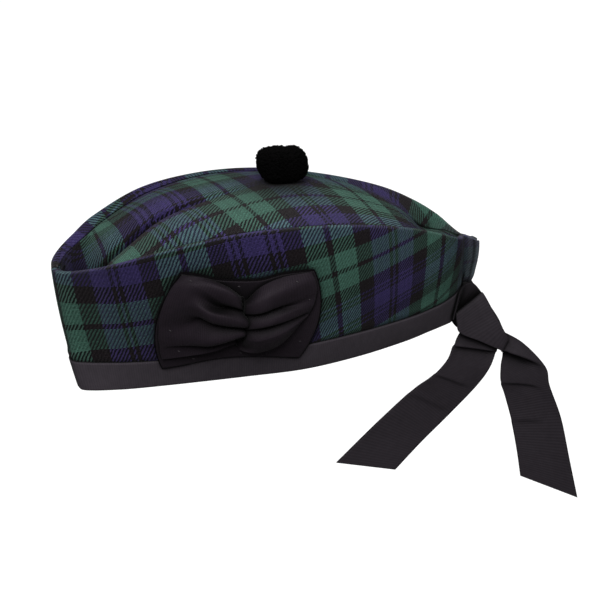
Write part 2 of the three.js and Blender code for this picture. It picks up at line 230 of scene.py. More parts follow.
def make_sheet(
    name: str,
    segments: tuple[int, int],
    place: Place,
    cloth: Cloth,
    seen_from: Vector,
    painted_light: PaintedLight = no_painted_light,
) -> bpy.types.Mesh:
    """Grid of cloth laid on a surface.

    Args:
        name: name of the mesh.
        segments: number of faces along and across.
        place: point in millimetres at shares along and across.
        cloth: cloth coordinates at the same shares.
        seen_from: a point in front of the middle of the outer face, in millimetres.
        painted_light: how much light is painted on the cloth at the same shares, as pale hair, where 0 is
            none.

    Returns:
        The mesh, in metres, with its outer face turned to that point.
    """
    sheet = bmesh.new()
    for map_name in (CLOTH, PAINTED_LIGHT):
        sheet.loops.layers.uv.new(map_name)
    cloth_map, painted_light_map = [sheet.loops.layers.uv[map_name] for map_name in (CLOTH, PAINTED_LIGHT)]
    bmesh.ops.create_grid(sheet, x_segments=segments[0], y_segments=segments[1], size=0.5)
    shares = {vert: (vert.co.x + 0.5, vert.co.y + 0.5) for vert in sheet.verts}
    for face in sheet.faces:
        for loop in face.loops:
            loop[cloth_map].uv = cloth(*shares[loop.vert])
            loop[painted_light_map].uv = (painted_light(*shares[loop.vert]), 0.0)
    for vert, share in shares.items():
        vert.co = place(*share) * MM
    sheet.normal_update()
    towards = seen_from - place(0.5, 0.5)
    if surface_normal(place, 0.5, 0.5).dot(towards) < 0:
        bmesh.ops.reverse_faces(sheet, faces=sheet.faces)
    return mesh_from(sheet, name)


def close_seams(mesh: bpy.types.Mesh) -> None:
    """Merges the meeting edges of a sheet rolled into a closed tube, and turns its faces outwards."""
    tube = bmesh.new()
    tube.from_mesh(mesh)
    bmesh.ops.remove_doubles(tube, verts=tube.verts, dist=0.01 * MM)
    bmesh.ops.recalc_face_normals(tube, faces=tube.faces)
    tube.to_mesh(mesh)
    tube.free()


class Graph:
    """Short calls that add and join the nodes of one tree."""

    def __init__(self, tree: bpy.types.NodeTree) -> None:
        """Keeps the tree."""
        self.tree = tree

    def join(self, value: object, socket: Socket) -> None:
        """Links an output to a socket, or sets the socket to a plain value."""
        if isinstance(value, Socket):
            self.tree.links.new(value, socket)
        else:
            socket.default_value = value

    def fill(self, node: bpy.types.Node, inputs: Inputs) -> None:
        """Joins links and values to a node's inputs."""
        for key, value in inputs.items():
            self.join(value, node.inputs[key])

    def node(self, kind: str, inputs: Inputs | None = None, **settings: object) -> bpy.types.Node:
        """Adds a node.

        Args:
            kind: the node's type.
            inputs: links and values by socket.
            settings: the node's own properties.

        Returns:
            The node.
        """
        node = self.tree.nodes.new(kind)
        for key, value in settings.items():
            setattr(node, key, value)
        self.fill(node, inputs or {})
        return node

    def maths(self, operation: str, *values: object) -> Socket:
        """Adds a Math node for links or numbers and returns its output."""
        return self.node("ShaderNodeMath", dict(enumerate(values)), operation=operation).outputs[0]

    def mix_value(self, share: object, first: object, second: object) -> Socket:
        """Adds a Mix node for two values and returns its output."""
        return self.node("ShaderNodeMix", {0: share, 2: first, 3: second}).outputs[0]

    def mix_colour(self, share: object, first: object, second: object, blend: str = "MIX") -> Socket:
        """Adds a Mix node for two colours and returns its output."""
        inputs = {0: share, 6: first, 7: second}
        return self.node("ShaderNodeMix", inputs, data_type="RGBA", blend_type=blend).outputs[2]

    def scaled(self, colour: object, gain: object) -> Socket:
        """Adds a Mix node that multiplies a colour by a value, and returns its output."""
        return self.mix_colour(1.0, colour, gain, "MULTIPLY")

    def noise(self, vector: object, scale: float, detail: float, output: int = 0) -> Socket:
        """Adds a Noise Texture and returns its value, or its colour as output 1."""
        inputs = {"Vector": vector, "Scale": scale, "Detail": detail}
        return self.node("ShaderNodeTexNoise", inputs).outputs[output]

    def wave(self, place: object, pitch: object) -> Socket:
        """Adds a wave from 0 to 1 with the given distance between its crests."""
        turn = self.maths("MULTIPLY", self.maths("DIVIDE", place, pitch), math.tau)
        return self.maths("MULTIPLY_ADD", self.maths("SINE", turn), 0.5, 0.5)

    def finish(self, inputs: Inputs) -> None:
        """Joins links and values to the shader of a material's tree."""
        self.fill(self.tree.nodes["Principled BSDF"], inputs)


def new_group(
    name: str, inputs: dict[str, str], outputs: dict[str, str]
) -> tuple[Graph, bpy.types.Node, bpy.types.Node]:
    """Starts a shader node group.

    Args:
        name: the group's name.
        inputs: socket types by input name.
        outputs: socket types by output name.

    Returns:
        Its graph, its input node and its output node.
    """
    tree = bpy.data.node_groups.new(name, "ShaderNodeTree")
    for key, kind in inputs.items():
        tree.interface.new_socket(key, in_out="INPUT", socket_type=kind)
    for key, kind in outputs.items():
        tree.interface.new_socket(key, in_out="OUTPUT", socket_type=kind)
    graph = Graph(tree)
    return graph, graph.node("NodeGroupInput"), graph.node("NodeGroupOutput")


def new_material(name: str) -> tuple[bpy.types.Material, Graph]:
    """Starts a material and returns it with its graph."""
    material = bpy.data.materials.new(name)
    material.use_nodes = True
    return material, Graph(material.node_tree)


@dataclass(frozen=True)
class Sett:
    """Half of a tartan's repeat, as thread counts from one pivot to the next, and its colours."""

    blue: Triple = (0.0268, 0.0188, 0.079)
    green: Triple = (0.0355, 0.092, 0.068)
    black: Triple = (0.0055, 0.0032, 0.0042)
    stripes: tuple[tuple[int, str], ...] = (
        (12, "blue"),
        (4, "black"),
        (4, "blue"),
        (4, "black"),
        (4, "blue"),
        (20, "black"),
        (24, "green"),
        (6, "black"),
        (24, "green"),
        (20, "black"),
        (22, "blue"),
        (4, "black"),
        (2, "blue"),
    )

    @property
    def half(self) -> int:
        """Number of threads from one pivot to the next."""
        return sum(count for count, _ in self.stripes)

    def paint(self, ramp: bpy.types.ColorRamp) -> None:
        """Sets a colour ramp to the stripes."""
        ramp.interpolation = "CONSTANT"
        done = 0
        for index, (count, colour) in enumerate(self.stripes):
            share = done / self.half
            stop = ramp.elements[0] if index == 0 else ramp.elements.new(share)
            stop.position = share
            stop.color = (*getattr(self, colour), 1.0)
            done += count
        ramp.elements.remove(ramp.elements[len(ramp.elements) - 1])


@dataclass(frozen=True)
class Twill:
    """A two-and-two twill woven in a tartan. A gain multiplies a value, and an offset is added to it."""

    sett: Sett
    hair: Pair = (0.55, 4.0)  # scale and detail of the noise of single hairs
    cloud: Pair = (0.04, 3.0)  # the same of paler and darker patches
    drift: Pair = (0.16, 3.0)  # the same of threads that wander
    wander: float = 1.8  # how far they do, in threads of the sett
    repeat: float = 4.0  # threads from one line of the twill to the next
    thread_shade: Pair = (0.36, 0.82)  # gain and offset of the threads' own brightness
    line: Triple = (0.9, 1.6, -0.34)  # gains of the twill's wave and of the hair, and offset, in its lines
    softness: float = 0.72  # share of those soft lines, against clear crossings
    evenness: float = 0.65  # how far warp and weft blend into one colour
    likeness: Pair = (0.6, 0.4)  # gain and offset of the brightness where warp and weft are alike
    darkest: float = 0.4  # least gain of the darker threads
    patches: Triple = (0.35, 1.1, 0.27)  # gain of the clouds, gain of the hair and offset of the brightness
    painted_line_shade: Pair = (0.2, 0.84)  # painted shade along the twill's lines: gain and offset of the brightness on them
    painted_thread_shade: Pair = (0.9, 0.3)  # painted shade across a thread, darker at its edges: gain and offset of the brightness
    painted_light_hair: Pair = (0.9, -0.1)  # gain of the hair and offset where light is painted on the wool
    tuft: Pair = (3.0, 0.12)  # power and gain of hair that stands off the cloth
    fluff_and_painted_light: Triple = (0.11, 0.12, 0.13)  # colour of hair that does, and of the painted light
    fuzz: float = 0.8  # height of the hair against that of a thread

    def thread_colour(self, graph: Graph, count: Socket, pitch: Socket) -> Socket:
        """Adds the colour of a thread.

        Args:
            graph: where it is added.
            count: the thread's number.
            pitch: counts of the sett that one woven thread takes up.

        Returns:
            The colour.
        """
        half = float(self.sett.half)
        middle = graph.maths("MULTIPLY", graph.maths("ADD", count, 0.5), pitch)
        folded = graph.maths("PINGPONG", middle, half)
        ramp = graph.node("ShaderNodeValToRGB", {0: graph.maths("DIVIDE", folded, half)})
        self.sett.paint(ramp.color_ramp)
        shade = graph.node("ShaderNodeTexWhiteNoise", {"W": count}, noise_dimensions="1D").outputs[0]
        return graph.scaled(ramp.outputs[0], graph.maths("MULTIPLY_ADD", shade, *self.thread_shade))

    def woven(self, graph: Graph, over: Socket, warp: Socket, weft: Socket, contrast: Socket) -> Socket:
        """Adds the colour of the woven threads.

        Args:
            graph: where it is added.
            over: 1 where the warp is on top and 0 where the weft is.
            warp: colour of the warp.
            weft: colour of the weft.
            contrast: how far lighter and darker threads stand apart.

        Returns:
            The colour: partly the two threads' blend, at the brightness of the one on top.
        """
        sharp = graph.mix_colour(over, weft, warp)
        plain = graph.mix_colour(0.5, weft, warp)
        colours = (warp, weft, sharp, plain)
        lights = [graph.node("ShaderNodeRGBToBW", {0: colour}).outputs[0] for colour in colours]
        share = graph.maths("DIVIDE", lights[2], lights[3])
        even = graph.mix_colour(self.evenness, sharp, graph.scaled(plain, share))
        middle = graph.maths("SQRT", graph.maths("MULTIPLY", *lights[:2]))
        dim = graph.maths("MULTIPLY_ADD", graph.maths("DIVIDE", middle, lights[3]), *self.likeness)
        spread = graph.maths("SUBTRACT", 1.0, graph.maths("DIVIDE", 1.0, share))
        apart = graph.maths("MAXIMUM", graph.maths("MULTIPLY_ADD", spread, contrast, 1.0), self.darkest)
        return graph.scaled(even, graph.maths("MULTIPLY", apart, dim))

    def group(self) -> bpy.types.NodeTree:
        """Node group of the twill; its cloth coordinates are threads of the sett.

        Returns:
            The group, with outputs Colour and Height.
        """
        inputs = {"Cloth": VECTOR, "PaintedLight": FLOAT, **dict.fromkeys(PITCHES, FLOAT), "Contrast": FLOAT}
        graph, given, result = new_group("tartan_twill", inputs, {"Colour": COLOUR, "Height": FLOAT})
        cloth = given.outputs["Cloth"]
        hair = graph.noise(cloth, *self.hair)
        cloud = graph.noise(cloth, *self.cloud)
        drift = {0: graph.noise(cloth, *self.drift, output=1), 1: (0.5, 0.5, 0.5)}
        aside = graph.node("ShaderNodeVectorMath", drift, operation="SUBTRACT").outputs[0]
        wander = {0: aside, 1: (self.wander, self.wander, 0.0), 2: cloth}
        moved = graph.node("ShaderNodeVectorMath", wander, operation="MULTIPLY_ADD").outputs[0]
        places = graph.node("ShaderNodeSeparateXYZ", {0: moved}).outputs
        pitches = [given.outputs[name] for name in PITCHES]
        threads = [graph.maths("DIVIDE", place, pitch) for place, pitch in zip(places, pitches)]
        counts = [graph.maths("FLOOR", thread) for thread in threads]
        warp, weft = [self.thread_colour(graph, count, pitch) for count, pitch in zip(counts, pitches)]

        step = graph.maths("FLOORED_MODULO", graph.maths("SUBTRACT", *counts), self.repeat)
        crossed = graph.maths("LESS_THAN", step, 1.5)
        slope = graph.maths("SUBTRACT", graph.maths("SUBTRACT", *threads), 1.0)
        wave = graph.maths("COSINE", graph.maths("MULTIPLY", slope, math.tau / self.repeat))
        ragged = graph.maths("MULTIPLY_ADD", hair, *self.line[1:])
        line = graph.maths("MULTIPLY_ADD", wave, self.line[0], ragged)
        over = graph.mix_value(self.softness, crossed, graph.node("ShaderNodeClamp", {0: line}).outputs[0])
        woven = self.woven(graph, over, warp, weft, given.outputs["Contrast"])

        turns = [graph.maths("MULTIPLY", graph.maths("FRACT", thread), math.pi) for thread in threads]
        warp_round, weft_round = [graph.maths("SINE", turn) for turn in turns]
        height = graph.mix_value(over, weft_round, warp_round)
        patches = graph.maths("MULTIPLY_ADD", hair, *self.patches[1:])
        patches = graph.maths("MULTIPLY_ADD", cloud, self.patches[0], patches)
        # Painted shade: the colour is darkened between the twill's lines and at the edges of each thread.
        painted_thread_shade = graph.maths("MULTIPLY_ADD", height, *self.painted_thread_shade)
        relief = graph.maths("MULTIPLY", graph.maths("MULTIPLY_ADD", wave, *self.painted_line_shade), painted_thread_shade)
        shaded = graph.scaled(woven, graph.maths("MULTIPLY", patches, relief))
        # Painted light: the wool is mixed towards pale hair along its top fold and towards the ear.
        painted_light_share = graph.maths("MULTIPLY", given.outputs["PaintedLight"], graph.maths("MULTIPLY_ADD", hair, *self.painted_light_hair))
        tuft = graph.maths("POWER", hair, self.tuft[0])
        fluff_and_painted_light = graph.maths("MULTIPLY_ADD", tuft, self.tuft[1], painted_light_share)
        colour = graph.mix_colour(fluff_and_painted_light, shaded, (*self.fluff_and_painted_light, 1.0))
        fuzzy = graph.maths("MULTIPLY_ADD", hair, self.fuzz, height)
        graph.fill(result, {"Colour": colour, "Height": fuzzy})
        return graph.tree


@dataclass(frozen=True)
class Ribs:
    """The ribs of a woven ribbon."""

    pick_share: float = 0.45  # distance between the threads along it, against that between its ribs
    pick_height: float = 0.25  # their height against that of a rib
    slub: Pair = (260.0, 3.0)  # scale and detail of the noise of uneven thread
    wash: Pair = (28.0, 2.0)  # the same of paler and darker patches
    shares: Triple = (0.22, 0.5, 0.5)  # of rib, slub and wash in the shade; the rib's share is painted shade, lighter on the ribs
    slub_height: float = 0.4

    def group(self) -> bpy.types.NodeTree:
        """Node group of the ribs; its cloth coordinates are metres along and across.

        Returns:
            The group, with outputs Shade and Height.
        """
        inputs = {"Cloth": VECTOR, "Pitch": FLOAT}
        graph, given, result = new_group("ribbon_rib", inputs, {"Shade": FLOAT, "Height": FLOAT})
        cloth = given.outputs["Cloth"]
        pitch = given.outputs["Pitch"]
        places = graph.node("ShaderNodeSeparateXYZ", {0: cloth}).outputs
        rib = graph.wave(places[0], pitch)
        pick = graph.wave(places[1], graph.maths("MULTIPLY", pitch, self.pick_share))
        slub = graph.noise(cloth, *self.slub)
        shade = graph.maths("MULTIPLY", graph.noise(cloth, *self.wash), self.shares[2])
        shade = graph.maths("MULTIPLY_ADD", slub, self.shares[1], shade)
        # Painted shade: the ribs are lighter and the grooves between them darker.
        shade = graph.maths("MULTIPLY_ADD", rib, self.shares[0], shade)
        height = graph.maths("MULTIPLY_ADD", pick, self.pick_height, rib)
        height = graph.maths("MULTIPLY_ADD", slub, self.slub_height, height)
        graph.fill(result, {"Shade": shade, "Height": height})
        return graph.tree


def painted_hollow_shade_group() -> bpy.types.NodeTree:
    """Node group that darkens a colour where little light gets in, as between folds.

    Returns:
        The group, with the output Colour.
    """
    inputs = {"Colour": COLOUR, "Reach": FLOAT, "Depth": FLOAT}
    graph, given, result = new_group("hollow_shade", inputs, {"Colour": COLOUR})
    shut_in = graph.node("ShaderNodeAmbientOcclusion", {"Distance": given.outputs["Reach"]}, samples=8)
    gain = graph.maths("POWER", shut_in.outputs["AO"], given.outputs["Depth"])
    graph.fill(result, {"Colour": graph.scaled(given.outputs["Colour"], gain)})
    return graph.tree


@dataclass(frozen=True, kw_only=True)
class Fabric:
    """Finish of a woven cloth."""

    name: str
    roughness: float
    specular: float
    sheen: float
    sheen_roughness: float
    relief: float  # height of the weave, in millimetres
    strength: float  # how strongly that height shows
    reach: float  # how far off, in millimetres, other cloth still casts painted shade on this one
    depth: float  # how strongly that painted shade darkens it

    def join_weave(self, graph: Graph, colour: Socket, height: Socket, painted_hollow_shade: bpy.types.NodeTree) -> None:
        """Joins a weave to the shader of this cloth's material.

        Args:
            graph: the material's graph.
            colour: colour of the weave.
            height: height of the weave.
            painted_hollow_shade: the shared node group that paints shade where folds and nearby cloth shut
                out light.
        """
        relief = {"Height": height, "Distance": self.relief * MM, "Strength": self.strength}
        # Painted shade: the base colour is darkened where nearby cloth shuts out the light.
        shade = {"Colour": colour, "Reach": self.reach * MM, "Depth": self.depth}
        graph.finish(
            {
                "Base Color": graph.node("ShaderNodeGroup", shade, node_tree=painted_hollow_shade).outputs["Colour"],
                "Normal": graph.node("ShaderNodeBump", relief).outputs[0],
                "Roughness": self.roughness,
                "Specular IOR Level": self.specular,
                "Sheen Weight": self.sheen,
                "Sheen Roughness": self.sheen_roughness,
            }
        )


@dataclass(frozen=True, kw_only=True)
class TartanWool(Fabric):
    """Finish of the twill wool cloth."""

    pitches: Pair  # counts of the sett that one woven warp or weft thread takes up
    contrast: float  # how far the lighter and darker threads of the twill stand apart
    roughness: float = 0.95
    specular: float = 0.03
    sheen: float = 0.03
    sheen_roughness: float = 0.45
    relief: float = 0.45
    strength: float = 0.8
    reach: float = 45.0
    depth: float = 2.4

    def material(self, twill: bpy.types.NodeTree, painted_hollow_shade: bpy.types.NodeTree) -> bpy.types.Material:
        """Builds the wool's material.

        Args:
            twill: the shared node group of the tartan twill.
            painted_hollow_shade: the shared node group that paints shade where folds and nearby cloth shut
                out light.

        Returns:
            The material.
        """
        material, graph = new_material(self.name)
        cloth, painted_light_uv = [graph.node("ShaderNodeUVMap", uv_map=name).outputs[0] for name in (CLOTH, PAINTED_LIGHT)]
        painted_light = graph.node("ShaderNodeSeparateXYZ", {0: painted_light_uv}).outputs[0]
        inputs = {"Cloth": cloth, "PaintedLight": painted_light, **dict(zip(PITCHES, self.pitches)), "Contrast": self.contrast}
        weave = graph.node("ShaderNodeGroup", inputs, node_tree=twill)
        self.join_weave(graph, weave.outputs["Colour"], weave.outputs["Height"], painted_hollow_shade)
        return material


@dataclass(frozen=True, kw_only=True)
class Ribbon(Fabric):
    """Finish of a black woven ribbon."""

    dark: Triple
    light: Triple
    pitch: float  # distance between ribs, in millimetres
    roughness: float = 0.7
    specular: float = 0.08
    sheen: float = 0.01
    sheen_roughness: float = 0.4
    relief: float = 0.12
    strength: float = 0.7
    reach: float = 22.0
    depth: float = 2.7

    def material(self, ribs: bpy.types.NodeTree, painted_hollow_shade: bpy.types.NodeTree) -> bpy.types.Material:
        """Builds the ribbon's material.

        Args:
            ribs: the shared node group of the ribs.
            painted_hollow_shade: the shared node group that paints shade where folds and nearby cloth shut
                out light.

        Returns:
            The material.
        """
        material, graph = new_material(self.name)
        cloth = graph.node("ShaderNodeUVMap", uv_map=CLOTH).outputs[0]
        weave = graph.node("ShaderNodeGroup", {"Cloth": cloth, "Pitch": self.pitch * MM}, node_tree=ribs)
        colour = graph.mix_colour(weave.outputs["Shade"], (*self.dark, 1.0), (*self.light, 1.0))
        self.join_weave(graph, colour, weave.outputs["Height"], painted_hollow_shade)
        return material


@dataclass(frozen=True)
class Yarn:
    """Finish of black yarn or thread."""

    name: str
    dark: Triple
    light: Triple
    fleck: Pair = (900.0, 3.0)  # scale and detail of the noise of its colour
    fuzz: Pair = (2500.0, 2.0)  # the same of its height
    relief: float = 0.1
    strength: float = 0.6

    def material(self) -> bpy.types.Material:
        """Builds the yarn's material."""
        material, graph = new_material(self.name)
        place = graph.node("ShaderNodeTexCoord").outputs["Object"]
        fleck = graph.noise(place, *self.fleck)
        fuzz = graph.noise(place, *self.fuzz)
        relief = {"Height": fuzz, "Distance": self.relief * MM, "Strength": self.strength}
        graph.finish(
            {
                "Base Color": graph.mix_colour(fleck, (*self.dark, 1.0), (*self.light, 1.0)),
                "Normal": graph.node("ShaderNodeBump", relief).outputs[0],
                "Roughness": 1.0,
                "Specular IOR Level": 0.02,
            }
        )
        return material


@dataclass
class CapShape:
    """Form of the cap's cloth: walls, top folds and crown, as points at shares of length and height."""

    wool: float = 2.0
    ribbon: float = 1.0
    gap: float = 0.3
    seam_gap: float = 0.5
    turn_radius: float = 2.2  # bend at the top fold
    turn_rise: float = 0.6  # how high the cloth rises in that bend, as a share of its radius
    turn_fall: float = 0.4  # how steeply it then falls to the crown seam
    least_roll: float = 0.8  # least width of the cloth that is turned in
    pinched_half: float = 2.3  # a wall's distance from the middle where the two are sewn together at the back
    fin: Pair = (0.9, 0.955)  # shares of the length where a wall turns in to the ear
    ear_roll: float = 1.9  # radius of the rolled edge of the ear
    ear_end: float = 0.975  # share of the length where that roll starts
    least_half: float = 0.4  # least half width of the crown
    crease_at: float = 1.5  # how far right of the middle the crown's crease is
    crease_width: float = 2.4
    tuck_share: float = 6 / 110  # share of the crown's half width that is turned under the top folds
    tuck_out: float = 1.8
    tuck_down: float = 2.6
    tuck_bend: float = 1 / 3  # share of the tucked cloth that goes down before the rest goes outwards
    mound: float = 2.4  # how far the crown is drawn up to the pompom
    mound_at: Pair = POMPOM_AT
    mound_reach: float = 15.0
    thread: float = 0.6  # distance between two threads of the wool
    search_span: float = 420.0  # length in millimetres that the search for a place takes the wall to have
    search_steps: int = 10
    wall: Rows = Rows(
        "rim_x rim_half rim_z belly rake",
        (-122.8, 0.2, 0.6, 0, -1.8),
        (-121.4, 4.4, 0.6, 0, -1.5),
        (-115.4, 8, 0.7, -1, -1),
        (-106, 11.5, 0.8, -1, -0.5),
        (-90, 16.5, 1.2, 0, 0),
        (-58, 23.5, 2, 4, 0),
        (-20, 30.5, 2.8, 7, 0),
        (16, 35, 3, 8, 0),
        (52, 32, 3.6, 8, 0),
        (84, 26, 5, 8, 0),
        (103, 20, 6, 6, 0.5),
        (115, 15.5, 6.3, 2, 1.5),
        (121, 13, 6.4, -3, 4),
        (124, 12, 6.5, -6.5, 5.5),
    )
    crest: Rows = Rows(
        "crest_x crest_half crest_z roll middle_z puff crease",
        (-131, 0.2, 84, 5, 80, 0, 0),
        (-129, 11, 85.5, 6, 74, 1, 0),
        (-123, 21, 88, 7, 71, 3, 1),
        (-113, 31, 91.5, 8, 74, 5, 2),
        (-96, 44, 97.5, 9, 88, 6, 3),
        (-62, 56, 106.5, 8, 108.5, 4, 3),
        (-22, 58.5, 109.5, 5, 115, 1, 1),
        (18, 56.5, 106.5, 5, 115.5, 0, 0),
        (58, 49.5, 98, 7, 107, 0, 0),
        (92, 42, 87, 11, 91, 0, 0),
        (113, 34, 76.5, 17, 74, 0, 0),
        (126, 23, 68, 15, 64, 0, 0),
        (134, 9, 61, 4, 60, 0, 0),
        (146, 2.6, 55.5, 0, 56, 0, 0),
    )
    cloth: Rows = Rows(
        "warp_rim warp_crest weft_rim weft_crest",
        (-228, -233, 9, 132),
        (-219, -218, 7, 133),
        (-208, -201, 4, 135),
        (-191, -181, 0, 139),
        (-161, -145, -3, 146),
        (-105, -81, -11, 149),
        (-40, -11, -28, 146),
        (25, 53, -50, 143),
        (101, 118, -89, 124),
        (181, 182, -128, 83),
        (233, 227, -145, 41),
        (269, 256, -157, 1),
        (294, 284, -164, -24),
        (309, 306, -169, -38),
    )
    crown_cloth: Rows = Rows(
        "warp_left warp_near warp_far warp_right weft_left weft_near weft_far weft_right",
        (-117, -131, -146, -160, -9, -7, -3, 0),
        (-109, -118, -126, -131, -27, -14, -4, 20),
        (-81, -83, -84, -78, -55, -24, -6, 58),
        (-5, 6, 15, 29, -96, -55, 10, 146),
        (116, 136, 154, 167, -142, -72, 10, 136),
        (246, 261, 276, 288, -148, -67, 2, 92),
        (307, 318, 329, 340, -126, -57, 2, 62),
        (368, 377, 387, 397, -115, -54, 2, 46),
    )

    def wall_point(self, along: float, up: float) -> Vector:
        """Point on the outer face of the right wall.

        Args:
            along: share of the length, from the front.
            up: share of the height, from the rim.

        Returns:
            The point in millimetres.
        """
        rim = self.wall.point("rim_x rim_half rim_z", along)
        crest = self.crest.point("crest_x crest_half crest_z", along)
        point = rim.lerp(crest, up)
        swell = 4 * up * (1 - up)
        point.x += self.wall.at("rake", along) * swell
        point.y += self.wall.at("belly", along) * swell
        if along > 0.5:
            turn = ease(along, *self.fin)
            point.y = max(point.y * (1 - turn), self.pinched_half)
        if along > self.ear_end:
            part = 2 * (along - self.ear_end) / (1 - self.ear_end) - 1
            point.y += up * self.ear_roll * math.sqrt(max(1 - part * part, 0.0))
        return point

    def inward(self, along: float, up: float, step: float = 0.004) -> Vector:
        """Level direction into the cap, square to the plan of the right wall.

        Args:
            along: share of the length.
            up: share of the height.
            step: change of a share that counts as small.

        Returns:
            A unit vector.
        """
        if along <= 0:
            return Vector((1, 0, 0))
        run = self.wall_point(min(along + step, 1.0), up) - self.wall_point(max(along - step, 0.0), up)
        return Vector((run.y, -run.x, 0)).normalized()

    def height(self, along: float) -> float:
        """Height of the wall at a share of its length."""
        return self.crest.at("crest_z", along) - self.wall.at("rim_z", along)

    def turned_in(self, along: float, over: float) -> Vector:
        """Point on the cloth that is turned in over the crest of the right wall.

        Args:
            along: share of the length.
            over: share of the turned cloth, from the crest to the crown seam.

        Returns:
            The point in millimetres.
        """
        crest = self.wall_point(along, 1.0)
        inward = self.inward(along, 1.0)
        roll = max(self.crest.at("roll", along), self.least_roll)
        bend = min(self.turn_radius, roll)
        angle = min(over * 2, 1.0) * math.pi / 2
        flat = max(over * 2 - 1, 0.0) * (roll - bend)
        point = crest + inward * (bend * (1 - math.cos(angle)) + flat)
        point.z += self.turn_rise * bend * math.sin(angle) - self.turn_fall * flat
        return point

    def crown_point(self, along: float, across: float) -> Vector:
        """Point on the crown's upper face.

        Args:
            along: share of the length.
            across: from -1 at the left seam to 1 at the right seam; cloth beyond them is tucked under.

        Returns:
            The point in millimetres.
        """
        seam = self.turned_in(along, 1.0)
        before = self.turned_in(along, 0.9)
        edge = seam + (seam - before).normalized() * self.seam_gap
        aside = min(abs(across), 1.0)
        side = math.copysign(1.0, across)
        y = side * aside * max(edge.y, self.least_half)
        dome = (self.crest.at("middle_z", along) - edge.z) * (1 - aside**2)
        swell = self.crest.at("puff", along) * (2 * aside * (1 - aside) - (1 - aside) ** 4)
        crease = self.crest.at("crease", along) * bump_at(y - self.crease_at, self.crease_width)
        mound = self.mound * bump_at(math.dist((edge.x, y), self.mound_at), self.mound_reach)
        tucked = max(abs(across) - 1, 0.0) / self.tuck_share
        down = self.tuck_down * min(tucked / self.tuck_bend, 1.0)
        beyond = max((tucked - self.tuck_bend) / (1 - self.tuck_bend), 0.0)
        outward = -self.inward(along, 1.0) * self.tuck_out * beyond
        z = edge.z + dome + swell + mound - crease - down
        return Vector((edge.x + outward.x, y + side * outward.y, z))

    def left_wall(self, x: float, z: float) -> tuple[Vector, Vector]:
        """Point of the left wall at a length and a height.

        Args:
            x: place along the cap.
            z: height.

        Returns:
            The point and the wall's outward normal there.
        """
        along = 0.5
        for _ in range(self.search_steps):
            up = (z - self.wall.at("rim_z", along)) / self.height(along)
            here = self.wall.at("rim_x", along) * (1 - up) + self.crest.at("crest_x", along) * up
            along += (x - here) / self.search_span
        normal = surface_normal(self.wall_point, along, up)
        point = self.wall_point(along, up)
        if normal.y < 0:
            normal.negate()
        flip = Vector((1, -1, 1))
        return point * flip, normal * flip


